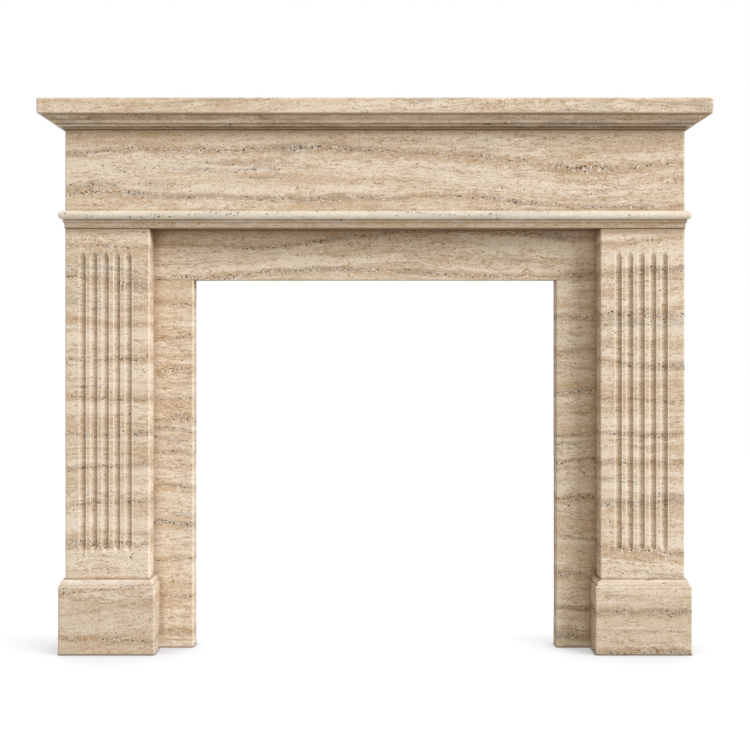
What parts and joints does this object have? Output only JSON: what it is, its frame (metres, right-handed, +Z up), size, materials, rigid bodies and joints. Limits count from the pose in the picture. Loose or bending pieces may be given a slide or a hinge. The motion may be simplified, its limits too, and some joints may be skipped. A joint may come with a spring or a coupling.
{
  "type": "fireplace mantel",
  "caption": "Travertine fireplace mantel with a moulded shelf, plain frieze, fluted pilasters on plinths, and flat slips around the fire opening.",
  "frame": {"origin": "on the hearth, under the middle of the shelf's length and depth", "axes": "+X along the shelf to the viewer's right, +Y back towards the wall, +Z up"},
  "size_m": [1.372, 0.138, 1.139],
  "materials": {
    "travertine": "honed travertine, cream and tan, with level bedding bands and small open pits"
  },
  "bodies": {
    "root": {"mantel_shelf": "travertine", "bed_moulding": "travertine", "frieze": "travertine", "necking_moulding": "travertine", "left_pilaster": "travertine", "right_pilaster": "travertine", "left_plinth": "travertine", "right_plinth": "travertine", "lintel_slip": "travertine", "left_jamb_slip": "travertine", "right_jamb_slip": "travertine"}
  },
  "joints": []
}
